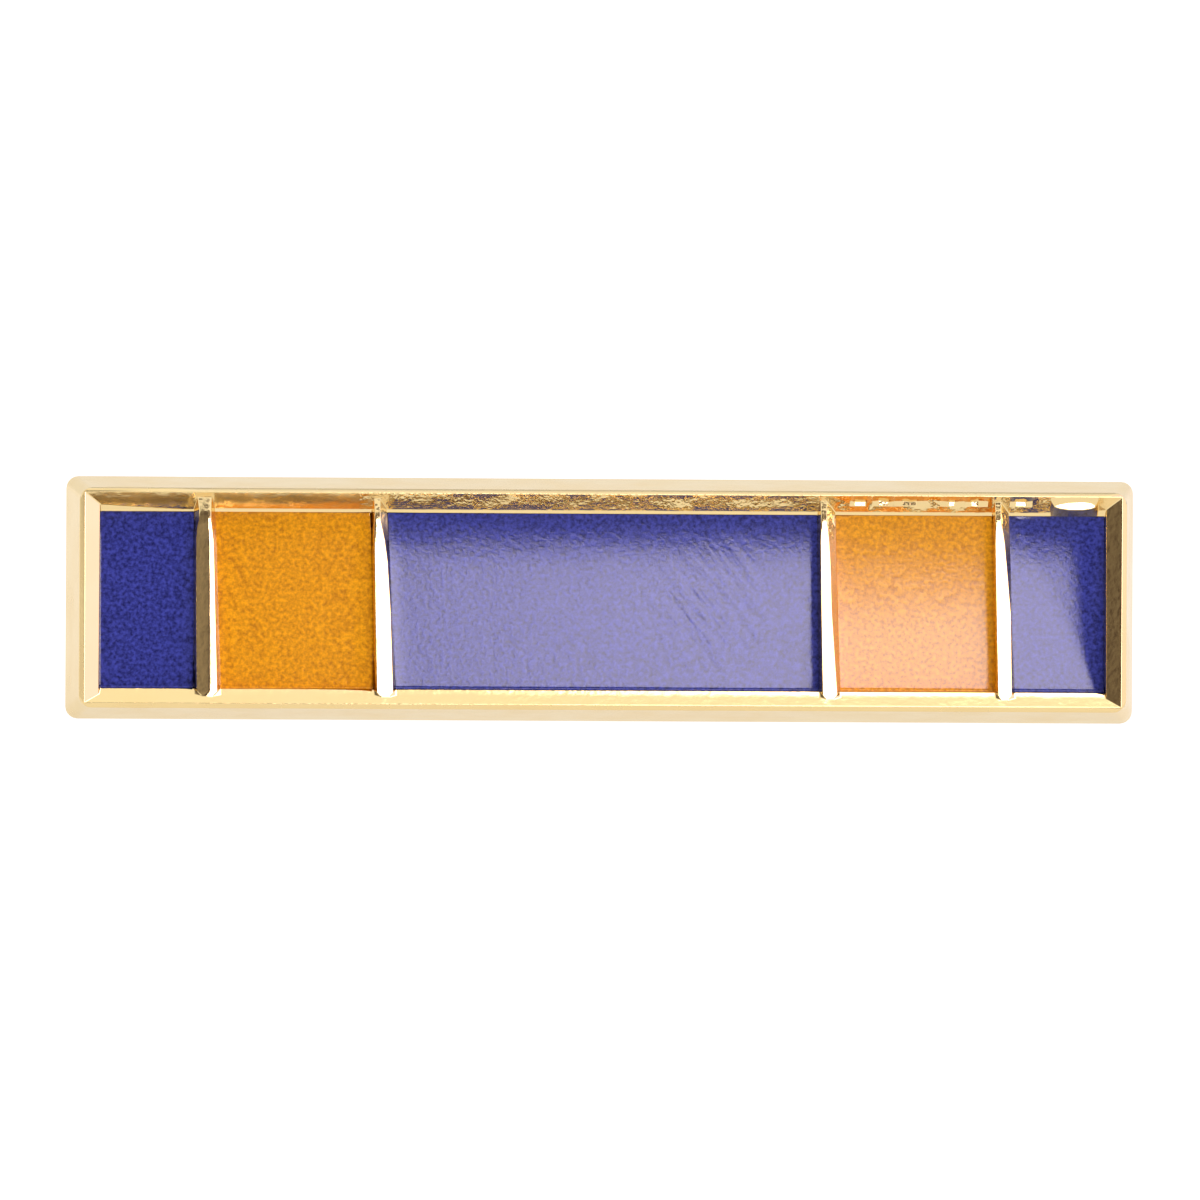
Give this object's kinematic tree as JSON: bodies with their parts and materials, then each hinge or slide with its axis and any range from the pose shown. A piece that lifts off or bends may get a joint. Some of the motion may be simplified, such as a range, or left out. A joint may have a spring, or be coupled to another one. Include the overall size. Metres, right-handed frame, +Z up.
{
  "type": "medal lapel pin",
  "caption": "Small gilt bar pin for a lapel, struck with a raised rim and ridges, filled with blue and orange enamel stripes, with a soldered post on its back.",
  "frame": {"origin": "on the surface the pin stands on, at the middle of its box: the bar stands on its lower back edge and the post behind it props it", "axes": "+X along the bar's length, to the right as its face is seen, +Y away from its face towards the post's point, +Z up"},
  "size_m": [0.0174, 0.0094, 0.0039],
  "materials": {
    "gilt_metal": "polished gilt over struck brass",
    "blue_enamel": "baked enamel, glossy with a fine orange peel",
    "orange_enamel": "baked enamel, glossy with a fine orange peel"
  },
  "bodies": {
    "root": {"gilt_bar": "gilt_metal", "blue_stripe_left": "blue_enamel", "orange_stripe_left": "orange_enamel", "blue_stripe_centre": "blue_enamel", "orange_stripe_right": "orange_enamel", "blue_stripe_right": "blue_enamel"}
  },
  "joints": []
}
